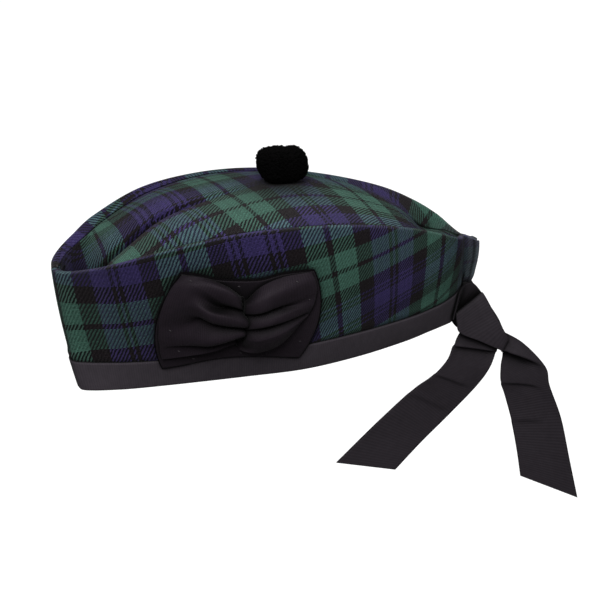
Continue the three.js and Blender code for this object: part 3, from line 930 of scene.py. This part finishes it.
@dataclass
class CapBody:
    """The three wool panels: two sides and the crown."""

    shape: CapShape
    side_finish: bpy.types.Material
    crown_finish: bpy.types.Material
    slot: str = "tartan_wool"
    side_faces: tuple[int, int] = (260, 90)
    crown_faces: tuple[int, int] = (220, 116)
    wall_share: float = 0.86  # share of a side panel's rows that lie below the crest
    crown_end: float = 0.95  # share of the walls' length where the crown ends
    lip: float = 0.9  # how far the wool stands out over the band
    lip_height: float = 25.5
    lip_width: float = 3.5
    side_cut: Pair = (0.128, 0.300)  # width and length of the flat panel, in metres
    side_area: float = 0.031
    crown_cut: Pair = (0.134, 0.290)
    crown_area: float = 0.0264
    turn_run: Pair = (1.4, 1.08)  # cloth in the bend of the top fold and in its flat, against their size
    right_warp: Pair = (-1.167, -82)  # gain and offset of the left panel's warp threads on the right one
    right_weft: Pair = (1.6, -25)  # weft threads per millimetre of height on the right panel, and an offset
    fold_painted_highlight: Triple = (0.16, 0.03, 0.035)  # wear at the top fold, where it is over the crest and its width
    # painted highlight along the top fold: its strength, where it is over the crest and its width
    back_painted_light: tuple[Triple, ...] = ((0.5, 0.84, 0.93), (0.95, 0.945, 0.955), (1.2, 0.968, 0.98))

    def side_point(self, side: Side, along: float, level: float) -> Vector:
        """Point on a side panel's outer face.

        Args:
            side: which wall.
            along: share of the length.
            level: share of the panel's rows, from the rim to the crown seam.

        Returns:
            The point in millimetres.
        """
        shape = self.shape
        if level < self.wall_share:
            lowest = (shape.ribbon + 2 * shape.gap) / shape.height(along)
            up = lowest + (1 - lowest) * level / self.wall_share
            point = shape.wall_point(along, up)
            over_band = up * shape.height(along) - self.lip_height
            outward = -shape.inward(along, 0.0)
            point += outward * self.lip * bump_at(over_band, self.lip_width)
        else:
            point = shape.turned_in(along, (level - self.wall_share) / (1 - self.wall_share))
        point.y *= side.value
        return point

    def side_cloth(self, side: Side, along: float, level: float) -> Pair:
        """Warp and weft thread of a side panel.

        Args:
            side: which wall.
            along: share of the length.
            level: share of the panel's rows.

        Returns:
            Thread numbers; the right panel is cut further along the cloth and counts towards the front.
        """
        shape = self.shape
        up = min(level / self.wall_share, 1.0)
        over = max(level - self.wall_share, 0.0) / (1 - self.wall_share)
        bend = shape.turn_radius * min(over * 2, 1.0)
        flat = (shape.crest.at("roll", along) - shape.turn_radius) * max(over * 2 - 1, 0.0)
        turned = (bend * self.turn_run[0] + max(flat, 0.0) * self.turn_run[1]) / shape.thread
        warp = shape.cloth.between("warp_rim", "warp_crest", along, up)
        if side is Side.RIGHT:
            weft = self.right_weft[0] * shape.wall_point(along, up).z + self.right_weft[1]
            return self.right_warp[0] * warp + self.right_warp[1], -weft - turned
        return warp, shape.cloth.between("weft_rim", "weft_crest", along, up) + turned

    def side_painted_light(self, along: float, level: float) -> float:
        """How much light is painted on a side panel: a highlight at its top fold, and more towards the edge
        of the ear.
        """
        painted_light, over, width = self.fold_painted_highlight
        fold = painted_light * bump_at(level - self.wall_share - over, width)
        return max(fold, *[painted_light * ease(along, start, end) for painted_light, start, end in self.back_painted_light])

    def crown_side(self, across: float) -> float:
        """Place across the crown, with its seams at -1 and 1, at a share of its whole width."""
        return (2 * across - 1) * (1 + self.shape.tuck_share)

    def crown_point(self, along: float, across: float) -> Vector:
        """Point on the crown's upper face at shares of its length and width."""
        return self.shape.crown_point(along * self.crown_end, self.crown_side(across))

    def crown_cloth(self, along: float, across: float) -> Pair:
        """Warp and weft thread of the crown at shares of its length and width."""
        threads = []
        across = min(max((self.crown_side(across) + 1) / 2, 0.0), 1.0)
        first = min(int(across * 3), 2)
        for thread in ("warp", "weft"):
            names = [thread + place for place in ("_left", "_near", "_far", "_right")]
            left, near, far, right = [self.shape.crown_cloth.at(name, along) for name in names]
            line = [2 * left - near, left, near, far, right, 2 * right - far]
            threads.append(smooth_through(*line[first : first + 4], across * 3 - first))
        return threads[0], threads[1]

    def build(self) -> None:
        """Makes the panels and lets them replace their solids."""
        for side, node in ((Side.LEFT, "side_left"), (Side.RIGHT, "side_right")):
            mesh = make_sheet(
                node + "_wool",
                self.side_faces,
                functools.partial(self.side_point, side),
                functools.partial(self.side_cloth, side),
                Vector((0, 1000 * side.value, 50)),
                self.side_painted_light,
            )
            panel = dress_solid(node, mesh, self.side_finish, self.slot, self.shape.wool)
        above = Vector((0, 0, 1000))
        mesh = make_sheet("crown_wool", self.crown_faces, self.crown_point, self.crown_cloth, above)
        crown = dress_solid("crown", mesh, self.crown_finish, self.slot, self.shape.wool)


@dataclass
class Band:
    """The ribbon bound over the cap's lower edge."""

    shape: CapShape
    finish: bpy.types.Material
    slot: str = "petersham"
    faces: tuple[int, int] = (520, 36)
    profile: Rows = Rows(
        "up inset",
        (22, -1.3),
        (15, -1.3),
        (8, -1.3),
        (2.4, -1.3),
        (0.7, -1.0),
        (0.1, 0.0),
        (0.1, 2.4),
        (0.8, 3.6),
        (3, 3.8),
        (10, 3.8),
    )
    cut: Pair = (0.037, 0.575)  # width and length of the flat ribbon, in metres
    front_run: float = 150.0  # added to places along the rim, so that all of one side have the same sign

    def point(self, around: float, level: float) -> Vector:
        """Point on the binding's outer face.

        Args:
            around: share of the way from the left end of the back slit round the front to the right end.
            level: share of the way across the ribbon, from its outer edge to its inner edge.

        Returns:
            The point in millimetres.
        """
        along = abs(2 * around - 1)
        up = self.profile.at("up", level) / self.shape.height(along)
        inward = self.shape.inward(along, 0.0)
        point = self.shape.wall_point(along, up) + inward * self.profile.at("inset", level)
        if around < 0.5:
            point.y *= -1
        return point

    def cloth(self, around: float, level: float) -> Pair:
        """Metres along and across the ribbon."""
        run = self.shape.cloth.at("warp_rim", abs(2 * around - 1)) * self.shape.thread
        return math.copysign(run + self.front_run, around - 0.5) * MM, level * self.cut[0]

    def build(self) -> None:
        """Makes the band and lets it replace its solid."""
        mesh = make_sheet("band_ribbon", self.faces, self.point, self.cloth, Vector((-500, 0, -1000)))
        band = dress_solid("band", mesh, self.finish, self.slot, self.shape.ribbon)


def fold_line(*stations: Triple) -> Rows:
    """One of the bow's ridges, creases or edges, as places on the wall and heights over it."""
    return Rows("x z lift", *stations)


@dataclass
class Rosette:
    """The gathered bow on its flat patch, on the left side, with the patch's hem and stitches; the hem is
    near black, a painted shadow under the patch's edge.
    """

    shape: CapShape
    finish: bpy.types.Material
    hem_shadow_finish: bpy.types.Material
    thread_finish: bpy.types.Material
    slot: str = "bow_ribbon"
    bow_cut: Pair = (0.080, 0.110)  # width and length of the flat ribbon, in metres
    patch_cut: Pair = (0.073, 0.092)
    bow_faces: tuple[int, int] = (168, 130)
    patch_faces: tuple[int, int] = (90, 60)
    hem_faces: tuple[int, int] = (280, 10)
    hem_radius: float = 0.9
    hem_lift: float = 1.6  # height of the hem's middle line over the wall
    stitch_half: Triple = (1.0, 0.35, 0.3)
    stitch_lean: Triple = (0.6, 0.0, 0.8)  # direction that the stitches cross
    bow_stitches: tuple[Pair, ...] = ((0.05, 0.37), (0.08, 0.05), (0.08, 0.9), (0.93, 0.93), (0.97, 0.7))
    patch_stitches: tuple[Pair, ...] = ((0.94, 0.2), (0.28, 0.06), (0.62, 0.06), (0.5, 0.94))
    patch: Rows = Rows(
        "low_x low_z top_x top_z bulge",
        (-72.5, 19, -58.5, 91.5, -9),
        (-62, 20.5, -48, 88.5, -5),
        (-50, 23, -38, 84.5, -2),
        (-36.5, 24.5, -24.5, 81.5, 0),
        (-21.5, 23.5, -11.5, 80, 1),
        (-4, 20.5, 3, 81.5, 4),
        (11, 17, 21, 80, 7.5),
    )
    # Lines from the lower edge of the bow to its upper edge. Each has four stations on the front lobe, one in
    # the pinch and four on the back lobe.
    folds: tuple[Rows, ...] = (
        fold_line(
            (-72.5, 28, 4), (-57.5, 31, 5.5), (-42.5, 36, 8.5), (-29.5, 38.5, 6.5), (-26.5, 34, 4.2),
            (-25, 32.5, 6), (-16, 32.5, 9.5), (-1.5, 36.5, 9), (12.5, 48, 4.5),
        ),
        fold_line(
            (-73.5, 34.5, 4), (-55.5, 42.5, 4.6), (-42.5, 45, 4.6), (-29.5, 47.5, 4.4), (-27, 38.5, 4.2),
            (-23.5, 34.5, 5), (-15.5, 37, 11), (-1.5, 42, 11.5), (13.5, 49, 4.6),
        ),
        fold_line(
            (-73.5, 39.5, 4), (-55.5, 41.5, 7.5), (-42.5, 43.5, 11.5), (-25.5, 46.5, 10), (-23.5, 41, 4.6),
            (-23, 41.5, 8.5), (-14.5, 42.5, 13), (-0.5, 46.5, 12.5), (14.5, 50, 4.6),
        ),
        fold_line(
            (-74, 46, 4), (-56, 47.5, 8), (-42, 50, 13), (-24.5, 50.5, 11), (-22, 45, 5),
            (-22, 45.5, 9.5), (-13.5, 47, 13), (0.5, 49.5, 11.5), (15.5, 51, 4.6),
        ),
        fold_line(
            (-73.5, 53, 4), (-56.5, 57, 5.5), (-41.5, 62.5, 4.6), (-28.5, 55.5, 4.4), (-25, 48.5, 4.2),
            (-21.5, 52, 4.4), (-11.5, 55, 4.8), (1.5, 56, 5), (16.5, 52, 4.2),
        ),
        fold_line(
            (-73, 60, 4), (-55, 67, 8.5), (-41.5, 61.5, 13.5), (-24, 54.5, 11.5), (-21.5, 50.5, 5),
            (-21.5, 51.5, 9.5), (-11.5, 54, 13), (1.5, 55, 11.5), (17.5, 54.5, 4.6),
        ),
        fold_line(
            (-70.5, 70, 4), (-54.5, 74, 10), (-41.5, 69.5, 15), (-23, 60.5, 12.5), (-20, 54.5, 6),
            (-20.5, 56.5, 10.5), (-11, 59, 13.5), (2, 60.5, 12), (19.5, 58, 4.6),
        ),
        fold_line(
            (-67.5, 78, 4), (-53, 81, 9.5), (-38, 68.5, 7), (-28, 68, 4.4), (-24, 59, 4.2),
            (-23, 63, 4.4), (-13.5, 65.5, 5), (3, 63, 8), (21, 63, 4.2),
        ),
        fold_line(
            (-64.5, 84, 4), (-51, 86.5, 9.5), (-36, 74.5, 11.5), (-26, 67.5, 10.5), (-23.5, 61.5, 4.6),
            (-23, 62.5, 9), (-13.5, 64.5, 13.5), (0.5, 67, 11), (22, 68.5, 4.4),
        ),
        fold_line(
            (-61.5, 88, 4), (-49, 88.5, 7.5), (-34, 82.5, 12.5), (-25.5, 74, 10), (-23.5, 66.5, 4.2),
            (-22, 69, 10), (-13, 74, 14), (0.5, 76.5, 12), (21, 75, 4.6),
        ),
        fold_line(
            (-58.5, 91.5, 4), (-46.5, 89, 5), (-34.5, 83, 6), (-25.5, 74, 5), (-23, 71, 4.2),
            (-21.5, 69.5, 5), (-12.5, 78, 6), (1.5, 81.5, 5), (19, 80.5, 4),
        ),
    )

    def over_wall(self, along: float, up: float) -> tuple[Vector, Vector]:
        """Point of the wall behind the patch, and the normal there, at shares of its length and height."""
        bend = self.patch.at("bulge", along) * 4 * up * (1 - up)
        x = self.patch.between("low_x", "top_x", along, up) + bend
        z = self.patch.between("low_z", "top_z", along, up)
        return self.shape.left_wall(x, z)

    def patch_point(self, along: float, up: float) -> Vector:
        """Point on the patch's outer face at shares of its length and height."""
        point, normal = self.over_wall(along, up)
        return point + normal * 2 * (self.shape.gap + self.shape.ribbon)

    def hem_middle(self, around: float) -> tuple[Vector, Vector]:
        """Point of the hem's middle line, and the wall's normal, at a share of the way round the patch."""
        side, part = divmod(4 * (around % 1.0), 1.0)
        corner = {0: (part, 0.0), 1: (1.0, part), 2: (1 - part, 1.0), 3: (0.0, 1 - part)}
        point, normal = self.over_wall(*corner[int(side)])
        return point + normal * self.hem_lift, normal

    def hem_point(self, around: float, turn: float, step: float = 0.003) -> Vector:
        """Point on the hem's surface.

        Args:
            around: share of the way round the patch.
            turn: share of the way round the hem.
            step: change of a share that counts as small.

        Returns:
            The point in millimetres.
        """
        middle, normal = self.hem_middle(around)
        ahead = self.hem_middle(around + step)[0] - self.hem_middle(around - step)[0]
        aside = ahead.cross(normal).normalized()
        angle = math.tau * turn
        return middle + self.hem_radius * (normal * math.cos(angle) + aside * math.sin(angle))

    def bow_point(self, along: float, up: float) -> Vector:
        """Point on the bow's outer face.

        Args:
            along: share of its length.
            up: share of the way over its folds.

        Returns:
            The point in millimetres.
        """
        last = len(self.folds) - 1
        first = min(max(int(up * last), 0), last - 1)
        around = [min(max(first + step, 0), last) for step in (-1, 0, 1, 2)]
        x, z, lift = [
            smooth_through(*[self.folds[index].at(name, along) for index in around], up * last - first)
            for name in ("x", "z", "lift")
        ]
        point, normal = self.shape.left_wall(x, z)
        return point + normal * lift

    def cloth(self, along: float, up: float) -> Pair:
        """Metres along and across the ribbon that the bow is made of."""
        return along * self.bow_cut[1], up * self.bow_cut[0]

    def build(self) -> None:
        """Makes the patch and the bow and lets them replace their solids."""
        left = Vector((0, -1000, 50))
        ribbon = self.shape.ribbon
        mesh = make_sheet("patch_ribbon", self.patch_faces, self.patch_point, self.cloth, left)
        patch = dress_solid("rosette_patch", mesh, self.finish, self.slot, ribbon)
        mesh = make_sheet("bow_ribbon", self.bow_faces, self.bow_point, self.cloth, left)
        bow = dress_solid("rosette_bow", mesh, self.finish, self.slot, ribbon)
        # Painted shadow: the hem is a near-black tube round the patch, where its edge casts shade on the
        # wool.
        mesh = make_sheet("patch_hem_painted_shadow", self.hem_faces, self.hem_point, self.cloth, left)
        close_seams(mesh)
        hem = add_piece(mesh, self.hem_shadow_finish, self.slot)
        stitches = self.add_stitches()

    def add_stitches(self) -> bpy.types.Object:
        """Makes the short hand stitches near the edges of the bow and the patch."""
        thread = bmesh.new()
        size = Matrix.Diagonal((*(Vector(self.stitch_half) * MM), 1.0))
        seats = [(self.bow_point, share) for share in self.bow_stitches]
        seats += [(self.patch_point, share) for share in self.patch_stitches]
        for place, (along, up) in seats:
            normal = surface_normal(place, along, up)
            lean = Vector(self.stitch_lean).cross(normal).normalized()
            turn = Matrix((lean, normal.cross(lean), normal)).transposed().to_4x4()
            seat = Matrix.Translation(place(along, up) * MM) @ turn @ size
            bmesh.ops.create_uvsphere(thread, u_segments=8, v_segments=6, radius=1.0, matrix=seat)
        bmesh.ops.recalc_face_normals(thread, faces=thread.faces)
        return add_piece(mesh_from(thread, "bow_stitches"), self.thread_finish, self.slot)


@dataclass(frozen=True)
class Lip:
    """A soft fold across a ribbon, whose upper side stands out over its lower side."""

    along: float  # where it crosses the middle of the ribbon, as a share of the length
    slant: float  # how much further along it is at the second edge than at the first
    step: float  # in millimetres
    reach: float  # share of the length over which the cloth rises to the fold
    shown: Pair  # shares of the width where it starts and ends
    fade: float = 0.3  # share of the width over which it does
    edge: float = 0.012  # share of the length that the step itself takes

    def height(self, along: float, across: float) -> float:
        """Height over the plain ribbon, in millimetres, at shares of its length and width."""
        start, end = self.shown
        beyond = along - self.along - self.slant * (across - 0.5)
        shown = ease(across, start, start + self.fade) * ease(across, end, end - self.fade)
        return -0.5 * self.step * shown * math.tanh(beyond / self.edge) * math.exp(-abs(beyond) / self.reach)


def ribbon_edges(*stations: tuple[float, ...]) -> Rows:
    """The two edges of a ribbon, as a place on the first and a place on the second in each row."""
    return Rows("ax ay az bx by bz", *stations)


@dataclass(frozen=True)
class RibbonRun:
    """One stretch of the tie's ribbon, given by its two edges and the folds across it."""

    node: str
    held: str
    rests_on: str
    length: float
    width: float
    edges: Rows
    lips: tuple[Lip, ...] = ()
    faces: tuple[int, int] = (200, 30)

    def point(self, along: float, across: float) -> Vector:
        """Point on the ribbon's outer face at shares of its length and width."""
        point = self.edges.point("ax ay az", along).lerp(self.edges.point("bx by bz", along), across)
        point.y -= sum(lip.height(along, across) for lip in self.lips)
        return point

    def cloth(self, along: float, across: float) -> Pair:
        """Metres along and across the ribbon."""
        return along * self.length * MM, across * self.width * MM


@dataclass
class Tie:
    """The ribbon tied at the back, in four runs: two ties and two tails."""

    finish: bpy.types.Material
    thickness: float = 1.0
    slot: str = "petersham"
    runs: tuple[RibbonRun, ...] = (
        RibbonRun(
            node="tie_near",
            held="folded",
            rests_on="band",
            length=68,
            width=25.5,
            edges=ribbon_edges(
                (125.4, -17.8, 28.6, 120.5, -17.2, 10),
                (131, -8.4, 28.7, 123.2, -11.2, 8.5),
                (135, -5.4, 28.7, 124.5, -6.2, 7.5),
                (140.2, -5, 27.4, 126, -6, 7),
                (147, -3.5, 17, 130, -7, 5),
                (145, -8.5, 20.8, 124, -15, 12.6),
                (147.5, -11.5, 15, 123.5, -17, 6.5),
                (150.9, -13.5, 6.2, 125.5, -17.5, -0.5),
                (154.5, -15, -1.5, 139, -17.5, -8.9),
                (158, -15.5, -9.5, 152.4, -16.5, -18.1),
                (159.5, -14, -12.5, 154, -14.5, -20.5),
            ),
        ),
        RibbonRun(
            node="tie_far",
            held="folded",
            rests_on="band",
            length=43,
            width=24,
            edges=ribbon_edges(
                (140.4, 3.4, 27.4, 127.9, 11.3, 8.8),
                (142.5, 7.5, 25, 126.5, 12.5, 5),
                (145, 8, 20, 127, 9, -1),
                (151, 3, 10, 131, 2, -7),
                (156, -4, 0, 144, -5.5, -13),
                (158, -8, -7, 151, -8.5, -17),
            ),
        ),
        RibbonRun(
            node="tail_left",
            held="hung",
            rests_on="tie_near",
            length=133,
            width=31,
            edges=ribbon_edges(
                (129, -13.8, 1, 153, -13.2, -14),
                (123.5, -14.5, -6, 151, -14, -20.5),
                (117, -16.5, -18.5, 145.5, -15, -31.5),
                (106, -16, -29, 135.5, -14, -44),
                (92, -14, -38, 115, -12, -63.5),
                (66, -14, -57.5, 97, -12.5, -78),
                (37, -15.5, -80, 77, -15, -94),
            ),
            lips=(
                Lip(0.2, -0.06, 5.0, 0.09, (-0.1, 1.1)),
                Lip(0.5, 0.03, 1.8, 0.05, (-0.1, 0.95)),
                Lip(0.66, -0.05, 1.2, 0.06, (-0.1, 1.0)),
            ),
        ),
        RibbonRun(
            node="tail_right",
            held="hung",
            rests_on="tie_far",
            length=133,
            width=31,
            edges=ribbon_edges(
                (152, -9.4, -6, 151, -9.9, -18),
                (161, -11, -11, 157, -12, -23),
                (172, -13, -20, 154.5, -14, -32),
                (185, -15, -38, 153.5, -14.5, -43),
                (188, -14, -53, 157, -12, -56),
                (196, -13.5, -80, 161, -12.5, -76),
                (201, -15, -112, 163.5, -14.5, -98),
                (206, -16, -143, 165, -16, -117),
            ),
            lips=(
                Lip(0.27, -0.33, 9.0, 0.13, (0.02, 2.0)),
                Lip(0.53, -0.16, 2.4, 0.05, (0.1, 1.1)),
                Lip(0.72, -0.02, 1.6, 0.05, (0.3, 1.1)),
            ),
        ),
    )

    def build(self) -> None:
        """Makes the runs and lets them replace their solids."""
        for run in self.runs:
            mesh = make_sheet(run.node + "_ribbon", run.faces, run.point, run.cloth, Vector((150, -1000, 0)))
            ribbon = dress_solid(run.node, mesh, self.finish, self.slot, self.thickness)


@dataclass
class Pompom:
    """The ball of cut yarn on the crown."""

    finish: bpy.types.Material
    slot: str = "yarn"
    middle: Triple = (*POMPOM_AT, 128.2)
    half: Triple = (14.9, 12.8, 9.0)
    squareness: float = 3.4  # 2 is an oval ball, and more is boxier
    tilt: float = 0.06  # how much lower it is towards the back
    core_share: float = 0.8
    root_share: float = 0.9  # where the yarns start in the core
    yarns: int = 2800
    yarn_radius: float = 0.6
    yarn_spread: Pair = (0.8, 1.2)  # least and most of that radius at a yarn's end
    ragged: float = 0.9  # how much longer a yarn may be
    lean: float = 0.12  # how far the yarns lean, on average
    notch_depth: float = 0.09
    notch_at: float = 0.3
    notch_width: float = 0.16
    seat: float = 1.6  # how much longer the yarns are under it, down to the crown
    seat_edge: Pair = (0.5, 0.9)  # where they start and stop to get shorter, from its axis outwards
    seed: int = 7

    def tip(self, outward: Vector) -> Vector:
        """Point of the tufted surface in a direction from the pompom's middle."""
        radius = sum(abs(part) ** self.squareness for part in outward) ** (-1 / self.squareness)
        notch = self.notch_depth * bump_at(outward.x - self.notch_at, self.notch_width) * max(outward.z, 0.0)
        place = outward * (radius * (1 - notch)) * Vector(self.half)
        place.z -= self.tilt * place.x
        if outward.z < 0:
            place.z -= self.seat * (1 - ease(outward.xy.length, *self.seat_edge))
        return place

    def build(self) -> None:
        """Makes the core and its yarns and lets them replace the solid."""
        chance = random.Random(self.seed)
        ball = bmesh.new()
        middle = Matrix.Translation(Vector(self.middle) * MM)
        bmesh.ops.create_uvsphere(ball, u_segments=32, v_segments=20, radius=1.0)
        for vert in ball.verts:
            vert.co = middle @ (self.tip(vert.co.normalized()) * self.core_share * MM)
        golden = math.pi * (3 - math.sqrt(5))
        start = self.root_share * self.core_share
        for index in range(self.yarns):
            height = 1 - (2 * index + 1) / self.yarns
            ring = math.sqrt(1 - height * height)
            turn = index * golden
            tip = self.tip(Vector((ring * math.cos(turn), ring * math.sin(turn), height)))
            length = tip.length * (1 - start) + chance.uniform(0.0, self.ragged)
            lean = Vector([chance.gauss(0, self.lean) for _ in range(3)])
            turned = Vector((0, 0, 1)).rotation_difference(tip.normalized() + lean).to_matrix().to_4x4()
            root = Matrix.Translation(tip * start * MM)
            bmesh.ops.create_cone(
                ball,
                cap_ends=True,
                segments=5,
                radius1=self.yarn_radius * self.yarn_spread[0] * MM,
                radius2=self.yarn_radius * chance.uniform(*self.yarn_spread) * MM,
                depth=length * MM,
                matrix=middle @ root @ turned @ Matrix.Translation((0, 0, length / 2 * MM)),
            )
        pompom = add_piece(mesh_from(ball, "pompom_yarn"), self.finish, self.slot)
        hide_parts("pompom")


@dataclass
class Studio:
    """Floor, lights and camera, in metres."""

    floor_height: float = -0.34
    floor_size: float = 9.0
    floor_glow: float = 1.0
    sky: float = 0.26
    # Name, place, size and power of each soft box
    boxes: tuple[tuple[str, Triple, float, float], ...] = (
        ("key", (-0.35, -1.1, 1.2), 0.8, 43.0),
        ("top", (0.35, 0.6, 1.55), 0.7, 20.0),
        ("fill", (0.95, -0.95, 0.75), 0.8, 5.5),
    )
    lit_place: Triple = (0.02, 0.0, 0.05)  # what the boxes point at
    eye: Triple = (-0.2173, -1.0756, 0.5391)
    right: Triple = (0.97992, -0.19937, 0.0)
    upward: Triple = (0.08268, 0.40636, 0.90996)
    roll: float = math.radians(-5.0)
    lens: float = 113.1
    sensor: float = 36.0
    shift: float = 35 / 600

    def build(self) -> None:
        """Makes the studio."""
        self.make_floor()
        self.make_lights()
        self.make_camera()
        bpy.context.scene.view_settings.view_transform = "Standard"

    def make_floor(self) -> None:
        """Makes the plain pale floor, which glows but lights only itself."""
        sheet = bmesh.new()
        bmesh.ops.create_grid(sheet, x_segments=1, y_segments=1, size=self.floor_size)
        bmesh.ops.translate(sheet, verts=sheet.verts, vec=(0, 0, self.floor_height))
        floor = add_object("floor", mesh_from(sheet, "floor"))
        material, graph = new_material("pale_floor")
        graph.finish(
            {
                "Base Color": (0.06, 0.06, 0.06, 1.0),
                "Roughness": 0.9,
                "Emission Color": (1.0, 1.0, 1.0, 1.0),
                "Emission Strength": self.floor_glow,
            }
        )
        floor.data.materials.append(material)
        lit = bpy.data.collections.new("lit_by_floor")
        lit.objects.link(floor)
        floor.light_linking.receiver_collection = lit

    def make_lights(self) -> None:
        """Makes the sky and the soft boxes."""
        world = bpy.data.worlds.new("studio")
        bpy.context.scene.world = world
        world.use_nodes = True
        background = world.node_tree.nodes["Background"]
        background.inputs["Color"].default_value = (1.0, 1.0, 1.0, 1.0)
        background.inputs["Strength"].default_value = self.sky
        for name, place, size, power in self.boxes:
            light = bpy.data.lights.new(name, "AREA")
            light.size = size
            light.energy = power
            aim = Vector(self.lit_place) - Vector(place)
            turn = aim.to_track_quat("-Z", "Y").to_matrix().to_4x4()
            add_object(name, light).matrix_world = Matrix.Translation(place) @ turn

    def make_camera(self) -> None:
        """Makes the camera at the photograph's viewing angle."""
        data = bpy.data.cameras.new("camera")
        data.lens = self.lens
        data.sensor_width = self.sensor
        data.shift_x = self.shift
        camera = add_object("camera", data)
        right = Vector(self.right)
        upward = Vector(self.upward)
        level = math.cos(self.roll) * right + math.sin(self.roll) * upward
        above = math.cos(self.roll) * upward - math.sin(self.roll) * right
        turn = Matrix((level, above, right.cross(upward))).transposed().to_4x4()
        camera.matrix_world = Matrix.Translation(self.eye) @ turn
        bpy.context.scene.camera = camera


def build_cap() -> None:
    """Makes the finishes and every piece of the cap."""
    painted_hollow_shade = painted_hollow_shade_group()
    ribs = Ribs().group()
    twill = Twill(Sett()).group()
    side_wool = TartanWool(name="side_wool", pitches=(1.07, 1.53), contrast=0.5)
    # Painted shade: the crown's copy of the wool has more contrast, standing in for the shade of the twill's
    # relief under light from behind.
    crown_wool = TartanWool(name="crown_wool", pitches=(1.5, 1.25), contrast=1.1)
    # Painted shade: the ties' copy of the band's ribbon, coloured darker than the band.
    petersham = Ribbon(
        name="petersham", dark=(0.0075, 0.0062, 0.0078), light=(0.0190, 0.0158, 0.0196), pitch=1.5
    )
    # Painted light: the band's copy of the same ribbon, coloured lighter for the light that falls on it from
    # below.
    band_ribbon_painted_lighter = Ribbon(
        name="band_petersham_painted_lighter", dark=(0.0165, 0.0140, 0.0172), light=(0.0415, 0.0354, 0.0428), pitch=1.5
    )
    satin = Ribbon(
        name="bow_ribbon",
        dark=(0.0040, 0.0028, 0.0042),
        light=(0.0127, 0.0091, 0.0129),
        pitch=1.2,
        reach=15.0,
        depth=2.4,
    )
    # Painted shadow: near black, for the shade along the patch's edge.
    hem_yarn_painted_shadow = Yarn("hem_yarn_painted_shadow", (0.0006, 0.0005, 0.0006), (0.003, 0.0025, 0.003))
    thread = Yarn("stitch_thread", (0.012, 0.011, 0.012), (0.05, 0.045, 0.05))
    black_yarn = Yarn("black_yarn", (0.0002, 0.0002, 0.0002), (0.0014, 0.0013, 0.0014))
    shape = CapShape()
    CapBody(shape, side_wool.material(twill, painted_hollow_shade), crown_wool.material(twill, painted_hollow_shade)).build()
    Band(shape, band_ribbon_painted_lighter.material(ribs, painted_hollow_shade)).build()
    Rosette(shape, satin.material(ribs, painted_hollow_shade), hem_yarn_painted_shadow.material(), thread.material()).build()
    Tie(petersham.material(ribs, painted_hollow_shade)).build()
    Pompom(black_yarn.material()).build()


def main() -> None:
    """Builds the studio and the cap."""
    logging.basicConfig(level=logging.INFO, format="%(relativeCreated)d ms %(name)s: %(message)s")
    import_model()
    Studio().build()
    build_cap()


if __name__ == "__main__":
    main()
